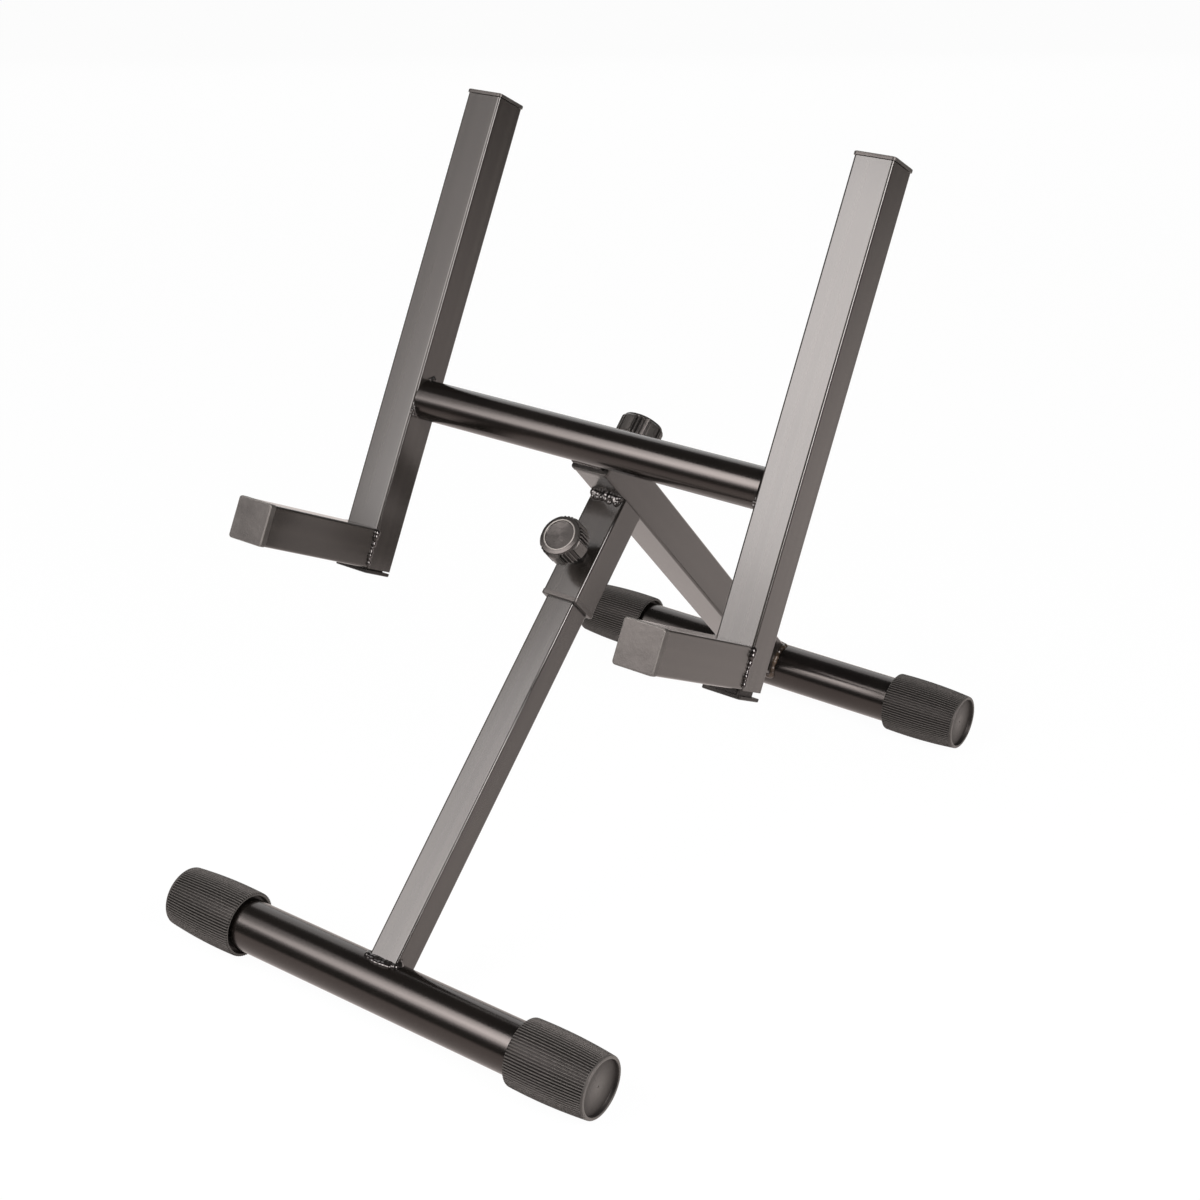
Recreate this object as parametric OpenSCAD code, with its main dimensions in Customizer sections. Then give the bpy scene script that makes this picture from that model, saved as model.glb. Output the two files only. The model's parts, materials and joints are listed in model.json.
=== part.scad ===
// Amplifier stand: two round floor bars, a square main tube and a square front leg that lean
// together, and a tilted cradle of two uprights and two arms on a mast that slides in the main tube.
// The floor is z = 0, the front is -Y, and the origin lies halfway between the two floor bars.

/* [Base] */
// Distance between the axes of the two floor bars
bar_spacing = 518; // [460:1:580]
// Angle of the main tube above the floor; the front leg stands square to it
main_tilt = 50.5; // [47:0.5:54]
// Outer diameter of the floor bars
bar_d = 38; // [32:1:42]
// Length of each floor bar without its end caps
bar_len = 364; // [300:2:440]
// Wall of the round tubes
round_wall = 1.5; // [1.2:0.1:2.5]
// Length of the main tube from the axis of the rear floor bar to its mouth
main_len = 379; // [366:1:400]

/* [Square tube] */
// Width of the outer square tube: main tube, sleeve, uprights and arms
tube_w = 30; // [28:1:32]
// Outer corner radius of the square tube
tube_r = 2; // [1.5:0.1:3]
// Wall of the square tube
tube_wall = 1.5; // [1.2:0.1:2]
// Gap between the inside of the square tube and the tube that slides in it
slide_gap = 1.5; // [1.2:0.1:2]

/* [Front leg] */
// Length of the sleeve, from the underside of the main tube to its mouth
sleeve_len = 82; // [70:1:100]
// Length of the leg that stands inside the sleeve at rest
leg_insert = 60; // [52:1:60]

/* [Cradle] */
// Clear width between the two uprights
upright_gap = 297; // [240:1:360]
// Lean of the uprights from the vertical
cradle_lean = 31.5; // [20:0.5:40]
// Height of the uprights above the axis of the crossbar
upright_above = 230; // [160:1:300]
// Depth of the uprights below the axis of the crossbar
upright_below = 133; // [110:1:160]
// Length of each arm in front of its upright
arm_len = 119; // [80:1:200]
// Diameter of the crossbar
crossbar_d = 30; // [25:1:32]
// Length of the mast below the axis of the crossbar
mast_len = 275; // [230:1:320]
// Gap between the crossbar and the lip of the main tube at rest
rest_gap = 0.5; // [0.3:0.1:2]

/* [Floor bar caps] */
// Length of a cap over its bar
cap_len = 63; // [50:1:80]
// Largest radius of a cap
cap_r = 24.5; // [23.5:0.1:30]
// Distance from the mouth of a cap to its largest radius
cap_peak = 18; // [14:1:30]
// Radius that the bulge of a cap follows along its length
cap_bulge_r = 420; // [380:1:600]
// Thickness of the closed end of a cap
cap_end = 4.5; // [3:0.1:6]
// Number of ribs round a cap
cap_ribs = 72; // [48:4:80]
// Height of a rib
cap_rib_h = 0.6; // [0.4:0.1:1]
// Width of a rib
cap_rib_w = 1.1; // [0.8:0.1:1.2]

/* [Clamp knobs] */
// Diameter of a knob
knob_d = 30; // [28:1:34]
// Height of a knob
knob_h = 17; // [15:1:22]
// Number of grips round a knob
knob_grips = 5; // [4:1:6]
// Thread diameter of the clamp screw
screw_d = 8; // [6:1:8]
// Distance of the rear clamp screw from the mouth of the main tube
main_clamp_inset = 34; // [31:1:42]
// Distance of the front clamp screw from the mouth of the sleeve
sleeve_clamp_inset = 31; // [31:1:42]
// Gap between a knob and its weld nut when clamped
knob_gap = 7.5; // [5:0.5:9]

/* [Plugs and bushings] */
// Thickness of the lip of a bushing
lip_h = 3.5; // [2:0.1:4]
// Depth of a bushing in its tube
bushing_depth = 25; // [18:1:26]
// Thickness of the flange of an upright's top cap
top_flange = 3; // [2:0.1:4]
// Thickness of the rim of an arm's cap
arm_flange = 4; // [3:0.1:6]
// Thickness of the flange of an upright's bottom plug
plug_flange = 2.5; // [2:0.1:4]
// How far the left plug stands out, held off by its weld
plug_gap_left = 1.3; // [1:0.1:5]
// How far the right plug stands out, held off by its weld
plug_gap_right = 4; // [1:0.1:5]

/* [Hidden] */
$fn = 64;
cut_over = 1;
fit_gap = 0.1;
screw_gap = 0.05;

axis_h = cap_r;
inner_w = tube_w - 2 * tube_wall - 2 * slide_gap;
inner_r = tube_r - fit_gap;
bore_r = tube_r - tube_wall + fit_gap;
bar_half = bar_len / 2;
cap_half = bar_half + cap_end;
leg_tilt = 90 - main_tilt;
leg_reach = bar_spacing * sin(main_tilt);
sleeve_top = leg_reach - tube_w / 2;
sleeve_mouth = sleeve_top - sleeve_len;
leg_top = sleeve_mouth + leg_insert;
crossbar_at = main_len + lip_h + rest_gap + crossbar_d / 2;
cradle_y = bar_spacing / 2 - crossbar_at * cos(main_tilt);
cradle_z = axis_h + crossbar_at * sin(main_tilt);
upright_x = upright_gap / 2 + tube_w / 2;
upright_len = upright_above + upright_below;
arm_z = tube_w / 2 - upright_below;

nut_d = 14;
nut_h = 7;
knob_base = tube_w / 2 + nut_h + knob_gap;
hole_over = 1;
screw_hole_d = screw_d + hole_over;
screw_tip_r = 3;
screw_tip_h = 1.5;
screw_cover = 4;
screw_root = knob_h - screw_cover;

lip_out = 1;
stem_len = 16;
stem_wall = 2;
stem_gap = 0.2;
fin_out = 2;
fin_h = 1;
fin_pitch = 4;
fins = 3;
fin_w = tube_w - 2 * tube_wall - 2 * stem_gap;
flange_over = 1;
arm_over = 0.4;
edge_r = 1;

mouth_depth = 5;
mouth_gap = 2.6;
mouth_round = 1.2;
end_round = 1.8;
end_rim = 3.4;
end_dish = 2.5;
gate_r = 0.9;
gate_depth = 0.8;

knob_band = 2.5;
knob_round = 1.5;
knob_rim = 1.6;
knob_dish = 1.2;
grip_depth = 1.6;
grip_rib_w = 1.1;
grip_ribs = 3;
grip_share = 0.36;

bead = 2.4;
bead_wrap = 4;
tack_w = 9;
bead_r = 2.4;
bead_wave = 0.4;
bead_pitch = 3.2;

steel = [0.27, 0.25, 0.245];
plastic = [0.19, 0.18, 0.175];
zinc = [0.62, 0.62, 0.6];

// Frames: local +Z runs up the main tube, up the leg, or up the uprights
module at_rear_bar() translate([0, bar_spacing / 2, axis_h]) children();
module at_front_bar() translate([0, -bar_spacing / 2, axis_h]) children();
module along_main() at_rear_bar() rotate([leg_tilt, 0, 0]) children();
module along_leg() at_front_bar() rotate([-main_tilt, 0, 0]) children();
module at_cradle() translate([0, cradle_y, cradle_z]) rotate([-cradle_lean, 0, 0]) children();
module on_side(side) translate([side * upright_x, 0, 0]) children();
module at_arm() translate([0, -tube_w / 2, arm_z]) rotate([90, 0, 0]) children();

module rounded_square(w, r) {
    square([w - 2 * r, w], center = true);
    square([w, w - 2 * r], center = true);
    for (x = [-1, 1], y = [-1, 1])
        translate([x * (w / 2 - r), y * (w / 2 - r)]) circle(r = r);
}

// Square tube along +Z, from z = 0
module square_tube(w, r, wall, len) {
    difference() {
        linear_extrude(len) rounded_square(w, r);
        translate([0, 0, -cut_over])
            linear_extrude(len + 2 * cut_over)
                rounded_square(w - 2 * wall, max(r - wall, bore_r));
    }
}

// Round bar along X, through the origin
module round_rod(d, len) rotate([0, 90, 0]) cylinder(d = d, h = len, center = true);

module round_tube(d, len) {
    difference() {
        round_rod(d, len);
        round_rod(d - 2 * round_wall, len + 2 * cut_over);
    }
}

// Block with its upper edge rounded, standing on z = 0
module soft_block(w, h, r, edge) {
    intersection() {
        linear_extrude(h) rounded_square(w, r);
        rotate([90, 0, 0])
            linear_extrude(w, center = true) rounded_top(w, h, edge);
        rotate([90, 0, 90])
            linear_extrude(w, center = true) rounded_top(w, h, edge);
    }
}

module rounded_top(w, h, edge) {
    translate([-w / 2, 0]) square([w, h - edge]);
    translate([edge - w / 2, 0]) square([w - 2 * edge, h]);
    for (x = [-1, 1])
        translate([x * (w / 2 - edge), h - edge]) circle(r = edge);
}

// Main tube: coped onto the rear bar, with the clamp screw's hole in its back face
module main_tube() color(steel)
    along_main() difference() {
        square_tube(tube_w, tube_r, tube_wall, main_len);
        round_rod(bar_d, 2 * tube_w);
        translate([0, 0, main_len - main_clamp_inset]) rotate([-90, 0, 0])
            cylinder(d = screw_hole_d, h = tube_w);
    }

// Sleeve: square under the main tube, with the clamp screw's hole in its front face
module leg_sleeve() color(steel)
    along_leg() difference() {
        translate([0, 0, sleeve_mouth])
            square_tube(tube_w, tube_r, tube_wall, sleeve_len);
        translate([0, 0, sleeve_mouth + sleeve_clamp_inset]) rotate([90, 0, 0])
            cylinder(d = screw_hole_d, h = tube_w);
    }

module rear_floor_bar() color(steel) at_rear_bar() round_tube(bar_d, bar_len);
module front_floor_bar() color(steel) at_front_bar() round_tube(bar_d, bar_len);

// Outline of a cap along its length, shrunk by inset: a bulge cut to the cap's ends
module cap_outline(inset) {
    intersection() {
        translate([cap_r - inset - cap_bulge_r, cap_peak]) circle(r = cap_bulge_r, $fn = 256);
        union() {
            translate([0, mouth_round]) square([cap_r, cap_len - mouth_round - end_round]);
            square([cap_radius(cap_len - end_round) - inset - end_round, cap_len]);
            for (z = [mouth_round, cap_len - end_round])
                translate([cap_radius(z) - inset - cap_corner(z), z]) circle(r = cap_corner(z));
            square([cap_radius(mouth_round) - inset - mouth_round, mouth_round]);
        }
    }
}

// Radius of the bulge at a height z, and the corner radius of the cap's end nearest to z
function cap_radius(z) = cap_r - cap_bulge_r + sqrt(pow(cap_bulge_r, 2) - pow(z - cap_peak, 2));
function cap_corner(z) = z < cap_len / 2 ? mouth_round : end_round;

// Ribbed cap along +Z: its mouth at z = 0, its closed end at z = cap_len
module ribbed_cap() {
    difference() {
        union() {
            rotate_extrude($fn = 128) cap_outline(cap_rib_h);
            intersection() {
                rotate_extrude($fn = 128) cap_outline(0);
                for (i = [0 : cap_ribs - 1])
                    rotate([0, 0, i * 360 / cap_ribs])
                        translate([bar_d / 2 + mouth_gap, -cap_rib_w / 2, mouth_round / 2])
                            cube([cap_r, cap_rib_w, cap_len - mouth_round / 2 - end_round]);
            }
        }
        translate([0, 0, -cut_over])
            cylinder(d = bar_d + 2 * fit_gap, h = cap_len - cap_end + cut_over, $fn = 128);
        translate([0, 0, -cut_over])
            cylinder(r = bar_d / 2 + mouth_gap, h = mouth_depth + cut_over, $fn = 128);
        translate([0, 0, cap_len - end_dish])
            cylinder(r = cap_radius(cap_len) - end_rim, h = end_dish + cut_over, $fn = 128);
        translate([0, 0, cap_len - end_dish - gate_depth])
            cylinder(r = gate_r, h = end_dish);
    }
}

// Cap on a bar's end; side -1 is the left end
module bar_cap(side) color(plastic)
    mirror([side < 0 ? 1 : 0, 0, 0])
        translate([cap_half - cap_len, 0, 0]) rotate([0, 90, 0]) ribbed_cap();

module rear_cap_left() at_rear_bar() bar_cap(-1);
module rear_cap_right() at_rear_bar() bar_cap(1);
module front_cap_left() at_front_bar() bar_cap(-1);
module front_cap_right() at_front_bar() bar_cap(1);

// Bushing: a sleeve in the mouth of a square tube, which ends at z = 0, with its lip outside
module bushing() {
    difference() {
        union() {
            translate([0, 0, -bushing_depth])
                linear_extrude(bushing_depth)
                    rounded_square(tube_w - 2 * tube_wall - 2 * fit_gap, tube_r);
            soft_block(tube_w + lip_out, lip_h, tube_r + lip_out / 2, edge_r);
        }
        translate([0, 0, -bushing_depth - cut_over])
            linear_extrude(bushing_depth + lip_h + 2 * cut_over)
                rounded_square(inner_w + 2 * fit_gap, inner_r);
    }
}

module main_bushing() color(plastic)
    along_main() translate([0, 0, main_len]) bushing();

module sleeve_bushing() color(plastic)
    along_leg() translate([0, 0, sleeve_mouth]) rotate([180, 0, 0]) bushing();

// Hexagonal weld nut, standing on z = 0
module weld_nut() {
    difference() {
        cylinder(d = nut_d, h = nut_h, $fn = 6);
        translate([0, 0, -cut_over])
            cylinder(d = screw_d + 2 * screw_gap, h = nut_h + 2 * cut_over);
    }
}

// Clamp frames: local +Z points out of the tube along the clamp screw, from the tube's axis
module at_rear_clamp() along_main() translate([0, 0, main_len - main_clamp_inset])
    rotate([-90, 0, 0]) children();
module at_front_clamp() along_leg() translate([0, 0, sleeve_mouth + sleeve_clamp_inset])
    rotate([90, 0, 0]) children();

module main_weld_nut() color(steel)
    at_rear_clamp() translate([0, 0, tube_w / 2]) weld_nut();
module sleeve_weld_nut() color(steel)
    at_front_clamp() translate([0, 0, tube_w / 2]) weld_nut();

// Clamp screw: from the face of the inner tube to its seat in the knob
module clamp_screw() {
    tip_z = inner_w / 2 + screw_gap;
    translate([0, 0, tip_z]) cylinder(r = screw_tip_r, h = screw_tip_h);
    translate([0, 0, tip_z + screw_tip_h])
        cylinder(d = screw_d, h = knob_base + screw_root - tip_z - screw_tip_h);
}

module front_screw() color(zinc) at_front_clamp() clamp_screw();
module rear_screw() color(zinc) at_rear_clamp() clamp_screw();

// Section of a knob's side: wide lobes, and between them recesses with narrow ribs
module knob_section() {
    pitch = 360 / knob_grips;
    recess = pitch * grip_share;
    circle(r = knob_d / 2 - grip_depth);
    intersection() {
        circle(d = knob_d);
        for (i = [0 : knob_grips - 1]) rotate(i * pitch) {
            polygon([[0, 0], for (s = [-1, 0, 1]) knob_d * lobe_point(s * (pitch - recess) / 2 + pitch / 2)]);
            for (k = [0 : grip_ribs - 1])
                rotate((k - (grip_ribs - 1) / 2) * recess / (grip_ribs + 1))
                    translate([0, -grip_rib_w / 2]) square([knob_d, grip_rib_w]);
        }
    }
}
function lobe_point(a) = [cos(a), sin(a)];

// Outline of a knob along its height: rounded upper edge, raised lip and dished face
module knob_outline() {
    difference() {
        union() {
            square([knob_d / 2, knob_h - knob_round]);
            square([knob_d / 2 - knob_round, knob_h]);
            translate([knob_d / 2 - knob_round, knob_h - knob_round]) circle(r = knob_round);
        }
        polygon([[0, knob_h - knob_dish], [knob_d / 2 - 2 * knob_rim, knob_h - knob_dish / 2],
                 [knob_d / 2 - knob_rim, knob_h + cut_over], [0, knob_h + cut_over]]);
    }
}

module knob() {
    difference() {
        intersection() {
            rotate_extrude() knob_outline();
            union() {
                linear_extrude(knob_h - knob_band) knob_section();
                translate([0, 0, knob_h - knob_band]) cylinder(d = knob_d, h = knob_band + cut_over);
            }
        }
        translate([0, 0, -cut_over])
            cylinder(d = screw_d + 2 * screw_gap, h = screw_root + screw_gap + cut_over);
    }
}

module front_knob() color(plastic)
    at_front_clamp() translate([0, 0, knob_base]) knob();
module rear_knob() color(plastic)
    at_rear_clamp() translate([0, 0, knob_base]) knob();

// Front leg: coped onto the front bar
module leg_tube() color(steel)
    along_leg() difference() {
        square_tube(inner_w, inner_r, tube_wall, leg_top);
        round_rod(bar_d, 2 * tube_w);
    }

// Weld collar round a square tube of width w where it stands on a round bar of diameter d
module bar_collar(w, r, d) {
    difference() {
        intersection() {
            linear_extrude(d) rounded_square(w + 2 * bead, r + bead);
            round_rod(d + 2 * bead, 2 * tube_w);
        }
        translate([0, 0, -cut_over]) linear_extrude(d + 2 * cut_over) rounded_square(w, r);
        round_rod(d, 3 * tube_w);
    }
}

// Weld of the leg: in front and behind, wrapped a little round the corners
module leg_weld() color(steel)
    along_leg() difference() {
        bar_collar(inner_w, inner_r, bar_d);
        cube([2 * tube_w, inner_w - 2 * bead_wrap, 2 * bar_d], center = true);
    }
module rear_bar_weld() color(steel) along_main() bar_collar(tube_w, tube_r, bar_d);

// Weld under the main tube, in front of and behind the top of the sleeve
module sleeve_weld() color(steel)
    along_leg() translate([0, 0, sleeve_top - bead]) difference() {
        linear_extrude(bead) square([tube_w, tube_w + 2 * bead], center = true);
        translate([0, 0, -cut_over])
            linear_extrude(bead + 2 * cut_over) rounded_square(tube_w, tube_r);
    }

// Mast: coped under the crossbar, down into the main tube
module mast() color(steel)
    along_main() translate([0, 0, crossbar_at]) difference() {
        translate([0, 0, -mast_len]) square_tube(inner_w, inner_r, tube_wall, mast_len);
        round_rod(crossbar_d, 2 * tube_w);
    }

// Weld between mast and crossbar: only in front and behind, where it clears the bushing's lip
module mast_weld() color(steel)
    along_main() translate([0, 0, crossbar_at]) intersection() {
        rotate([180, 0, 0]) bar_collar(inner_w, inner_r, crossbar_d);
        translate([0, 0, -crossbar_d / 4]) cube([2 * tube_w, 2 * tube_w, crossbar_d / 2], center = true);
    }

module crossbar() color(steel) at_cradle() round_tube(crossbar_d, upright_gap);

module upright() color(steel)
    translate([0, 0, -upright_below]) square_tube(tube_w, tube_r, tube_wall, upright_len);
module upright_left() at_cradle() on_side(-1) upright();
module upright_right() at_cradle() on_side(1) upright();

module arm() color(steel) at_arm() square_tube(tube_w, tube_r, tube_wall, arm_len);
module arm_left() at_cradle() on_side(-1) arm();
module arm_right() at_cradle() on_side(1) arm();

// Hollow stem of a cap or plug, hanging below z = 0, with fins at its end that grip the tube
module stem(len) {
    translate([0, 0, -len]) square_tube(fin_w - 2 * fin_out, tube_r, stem_wall, len);
    for (i = [0 : fins - 1])
        translate([0, 0, i * fin_pitch - len])
            square_tube(fin_w, tube_r, fin_out + stem_wall, fin_h);
}

module upright_cap() color(plastic)
    translate([0, 0, upright_above]) {
        soft_block(tube_w + 2 * flange_over, top_flange, tube_r + flange_over, edge_r);
        stem(stem_len);
    }
module upright_cap_left() at_cradle() on_side(-1) upright_cap();
module upright_cap_right() at_cradle() on_side(1) upright_cap();

// Bottom plug: its flange stands off the tube's end by gap
module upright_plug(gap) color(plastic)
    translate([0, 0, -upright_below - gap]) rotate([180, 0, 0]) {
        soft_block(tube_w, plug_flange, tube_r, edge_r);
        stem(stem_len + gap);
    }
module upright_plug_left() at_cradle() on_side(-1) upright_plug(plug_gap_left);
module upright_plug_right() at_cradle() on_side(1) upright_plug(plug_gap_right);

module arm_cap() color(plastic)
    at_arm() translate([0, 0, arm_len]) {
        soft_block(tube_w + 2 * arm_over, arm_flange, tube_r + arm_over, edge_r);
        stem(stem_len);
    }
module arm_cap_left() at_cradle() on_side(-1) arm_cap();
module arm_cap_right() at_cradle() on_side(1) arm_cap();

// Two tacks at the end of the crossbar, above and below it, on the inner face of an upright
module crossbar_weld(side) color(steel)
    at_cradle() translate([side * upright_gap / 2, 0, 0]) rotate([0, -side * 90, 0])
        intersection() {
            rotate_extrude() polygon([[crossbar_d / 2, 0], [crossbar_d / 2 + bead, 0],
                                      [crossbar_d / 2, bead]]);
            cube([3 * crossbar_d, tack_w, 2 * bead], center = true);
        }
module crossbar_weld_left() crossbar_weld(-1);
module crossbar_weld_right() crossbar_weld(1);

// Rippled bead along the outer seam between an arm and its upright
module rippled_bead(len) {
    waves = round(len / bead_pitch);
    step = len / waves / 4;
    rotate_extrude() polygon([[0, 0],
        for (i = [0 : 4 * waves]) [bead_r - bead_wave * pow(cos(i * 90), 2), i * step],
        [0, len]]);
}

module arm_weld(side) color(steel) at_cradle() on_side(side)
    difference() {
        translate([side * (tube_w / 2 - bead_wave), -tube_w / 2, arm_z - tube_w / 2 + tube_r])
            rippled_bead(tube_w - 2 * tube_r);
        translate([0, 0, -upright_below]) linear_extrude(upright_len)
            rounded_square(tube_w, tube_r);
        at_arm() linear_extrude(arm_len) rounded_square(tube_w, tube_r);
    }
module arm_weld_left() arm_weld(-1);
module arm_weld_right() arm_weld(1);

main_tube();
leg_sleeve();
rear_floor_bar();
rear_cap_left();
rear_cap_right();
main_bushing();
sleeve_bushing();
main_weld_nut();
sleeve_weld_nut();
rear_bar_weld();
sleeve_weld();
leg_tube();
front_floor_bar();
front_cap_left();
front_cap_right();
leg_weld();
mast();
crossbar();
upright_left();
upright_right();
arm_left();
arm_right();
upright_cap_left();
upright_cap_right();
upright_plug_left();
upright_plug_right();
arm_cap_left();
arm_cap_right();
mast_weld();
crossbar_weld_left();
crossbar_weld_right();
arm_weld_left();
arm_weld_right();
front_screw();
front_knob();
rear_screw();
rear_knob();
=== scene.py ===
import json
import math

import bmesh
import bpy
from mathutils import Matrix, Vector


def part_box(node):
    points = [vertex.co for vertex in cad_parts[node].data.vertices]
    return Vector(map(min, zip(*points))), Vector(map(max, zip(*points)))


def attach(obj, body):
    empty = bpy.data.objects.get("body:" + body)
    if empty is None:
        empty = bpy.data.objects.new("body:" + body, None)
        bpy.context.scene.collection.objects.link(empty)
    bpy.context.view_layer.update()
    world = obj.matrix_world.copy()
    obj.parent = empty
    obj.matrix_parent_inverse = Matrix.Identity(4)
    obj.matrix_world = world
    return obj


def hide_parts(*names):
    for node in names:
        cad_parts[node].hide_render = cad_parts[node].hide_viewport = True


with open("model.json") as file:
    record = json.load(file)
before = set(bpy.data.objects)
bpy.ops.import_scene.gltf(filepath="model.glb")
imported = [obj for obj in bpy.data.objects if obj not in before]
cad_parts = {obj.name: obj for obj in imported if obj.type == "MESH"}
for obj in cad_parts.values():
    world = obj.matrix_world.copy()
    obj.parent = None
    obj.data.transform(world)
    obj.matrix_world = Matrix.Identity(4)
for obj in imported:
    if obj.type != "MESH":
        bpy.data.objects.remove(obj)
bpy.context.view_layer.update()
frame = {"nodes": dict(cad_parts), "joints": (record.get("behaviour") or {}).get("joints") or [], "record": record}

# Floor bars. Two plain lengths of 38 mm round steel tube, black powder-coated, that the stand
# rests on. The coat lies smooth on round tube and shows long soft highlights.
MM = 0.001
BAR_R = 19 * MM
ROUND_WALL = 1.5 * MM
ROUND_STEPS = 96
MERGE = 1e-6
WARM_GLOSS = (1, 0.875, 0.83, 1)


def finish_piece(bm, name, material, body, nodes, smooth_angle=35, weighted=True):
    """Makes the mesh of a bmesh in the stand's frame, ties it to its body and hides the CAD nodes it replaces."""
    bmesh.ops.remove_doubles(bm, verts=bm.verts[:], dist=MERGE)
    bmesh.ops.recalc_face_normals(bm, faces=bm.faces[:])
    mesh = bpy.data.meshes.new(name)
    bm.to_mesh(mesh)
    bm.free()
    mesh.shade_smooth()
    mesh.set_sharp_from_angle(angle=math.radians(smooth_angle))
    mesh.materials.append(material)
    piece = bpy.data.objects.new(name, mesh)
    bpy.context.scene.collection.objects.link(piece)
    if weighted:
        even = piece.modifiers.new("flat faces stay flat", "WEIGHTED_NORMAL")
        even.keep_sharp = True
        even.weight = 100
    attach(piece, body)
    if nodes:
        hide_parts(*nodes)
    return piece


def shader(name, roughness, specular, coat=0.0, coat_roughness=0.2):
    """A new material with its nodes, and a small helper that adds a node and sets its values."""
    material = bpy.data.materials.new(name)
    material.use_nodes = True
    tree = material.node_tree
    surface = tree.nodes["Principled BSDF"]
    surface.inputs["Roughness"].default_value = roughness
    surface.inputs["Specular IOR Level"].default_value = specular
    surface.inputs["Specular Tint"].default_value = WARM_GLOSS
    surface.inputs["Coat Weight"].default_value = coat
    surface.inputs["Coat Roughness"].default_value = coat_roughness

    def add(kind, **values):
        node = tree.nodes.new(kind)
        for key, value in values.items():
            if key in node.inputs:
                node.inputs[key].default_value = value
            else:
                setattr(node, key, value)
        return node

    return material, tree, surface, add


def ramp(add, tree, source, stops):
    """Colour ramp fed by source; stops are (place, colour) pairs."""
    node = add("ShaderNodeValToRGB")
    band = node.color_ramp
    for i, (place, colour) in enumerate(stops):
        stop = band.elements[i] if i < 2 else band.elements.new(place)
        stop.position = place
        stop.color = colour
    tree.links.new(source, node.inputs["Fac"])
    return node.outputs["Color"]


def grey(value, warm=0.0):
    """A neutral or slightly warm shade."""
    return (value * (1 + warm), value, value * (1 - 0.7 * warm), 1)


def coat_on_round_tube():
    """Satin black powder coat: fine orange peel, faint brown cast, gloss that varies along the tube."""
    material, tree, surface, add = shader("black_coat_round_tube", 0.2, 0.6)
    place = add("ShaderNodeTexCoord").outputs["Object"]
    cloud = add("ShaderNodeTexNoise", Scale=22.0, Detail=3.0, Roughness=0.6)
    peel = add("ShaderNodeTexNoise", Scale=900.0, Detail=2.0, Roughness=0.5)
    stretch = add("ShaderNodeMapping", Scale=(0.04, 1.0, 1.0))
    grain = add("ShaderNodeTexNoise", Scale=700.0, Detail=3.0, Roughness=0.6)
    for node in (cloud, peel, stretch):
        tree.links.new(place, node.inputs["Vector"])
    tree.links.new(stretch.outputs["Vector"], grain.inputs["Vector"])
    tint = ramp(add, tree, cloud.outputs["Fac"], [(0.3, grey(0.0025, 0.2)), (0.75, grey(0.0045, 0.24))])
    tree.links.new(tint, surface.inputs["Base Color"])
    rough = add("ShaderNodeMapRange", **{"From Min": 0.3, "From Max": 0.7, "To Min": 0.19, "To Max": 0.22})
    tree.links.new(grain.outputs["Fac"], rough.inputs["Value"])
    tree.links.new(rough.outputs["Result"], surface.inputs["Roughness"])
    bump = add("ShaderNodeBump", Strength=0.08, Distance=0.0001)
    tree.links.new(peel.outputs["Fac"], bump.inputs["Height"])
    tree.links.new(bump.outputs["Normal"], surface.inputs["Normal"])
    return material


round_coat = coat_on_round_tube()


def middle(node):
    """Middle of a CAD node's box."""
    low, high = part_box(node)
    return (low + high) / 2


def round_tube(name, node, radius, body):
    """Hollow round tube that lies across the stand, as long as its CAD node."""
    low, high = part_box(node)
    mid = middle(node)
    start, end = Vector((low.x, mid.y, mid.z)), Vector((high.x, mid.y, mid.z))
    bm = bmesh.new()
    bmesh.ops.create_circle(bm, segments=ROUND_STEPS, radius=radius)
    rim = bmesh.ops.extrude_edge_only(bm, edges=bm.edges[:])["geom"]
    moved = [v for v in rim if isinstance(v, bmesh.types.BMVert)]
    bmesh.ops.translate(bm, verts=moved, vec=(0, 0, (end - start).length))
    bmesh.ops.recalc_face_normals(bm, faces=bm.faces[:])
    bmesh.ops.solidify(bm, geom=bm.faces[:], thickness=ROUND_WALL)
    along = Matrix.Translation(start) @ (end - start).to_track_quat("Z", "Y").to_matrix().to_4x4()
    bmesh.ops.transform(bm, matrix=along, verts=bm.verts[:])
    return finish_piece(bm, name, round_coat, body, [node])


for place, body in (("rear", "rear_frame"), ("front", "front_leg")):
    round_tube(f"{place}_bar_tube", f"{place}_floor_bar", BAR_R, body)

# End caps of the floor bars. Each is a moulded, barrel-shaped sleeve of matte black plastic,
# pushed over the bar's end, with fine ribs along it, an open mouth and a dished closed end.
CAP_LEN = 63 * MM
CAP_R = 24.5 * MM
CAP_PEAK = 18 * MM
CAP_BULGE_R = 420 * MM
CAP_END = 4.5 * MM
CAP_FIT = 0.1 * MM
CAP_EDGE = 0.5 * MM
CAP_RIBS = 72
RIB_STEPS = 10
RIB_H = 1.2 * MM
RIB_SHARE = 0.34
RIB_FLANK = 1.7
RIB_RUNOUT = 0.6 * MM
SMOOTH_RING = 1.6 * MM
BARREL_STEPS = 14
MOUTH_GAP = 2.6 * MM
MOUTH_DEPTH = 5 * MM
MOUTH_ROUND = 1.2 * MM
MOUTH_FLARE = 0.4 * MM
END_ROUND = 1.2 * MM
END_RIM = 2.6 * MM
END_DISH = 3 * MM
GATE_R = 0.9 * MM
GATE_DEPTH = 0.8 * MM
# Levels of the lightening mask on a cap: rib crests, partly wear; the smooth ring as a share of them; end, rim and
# mouth; and the dish's inner wall, kept low as painted shade. The rib grooves get none: painted shade.
RIB_CREST_TONE = 0.58
RING_TONE_SHARE = 0.75
END_TONE = 0.85
DISH_WALL_PAINTED_SHADE = 0.1
ORIGIN = Vector((0, 0, 0))


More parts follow.
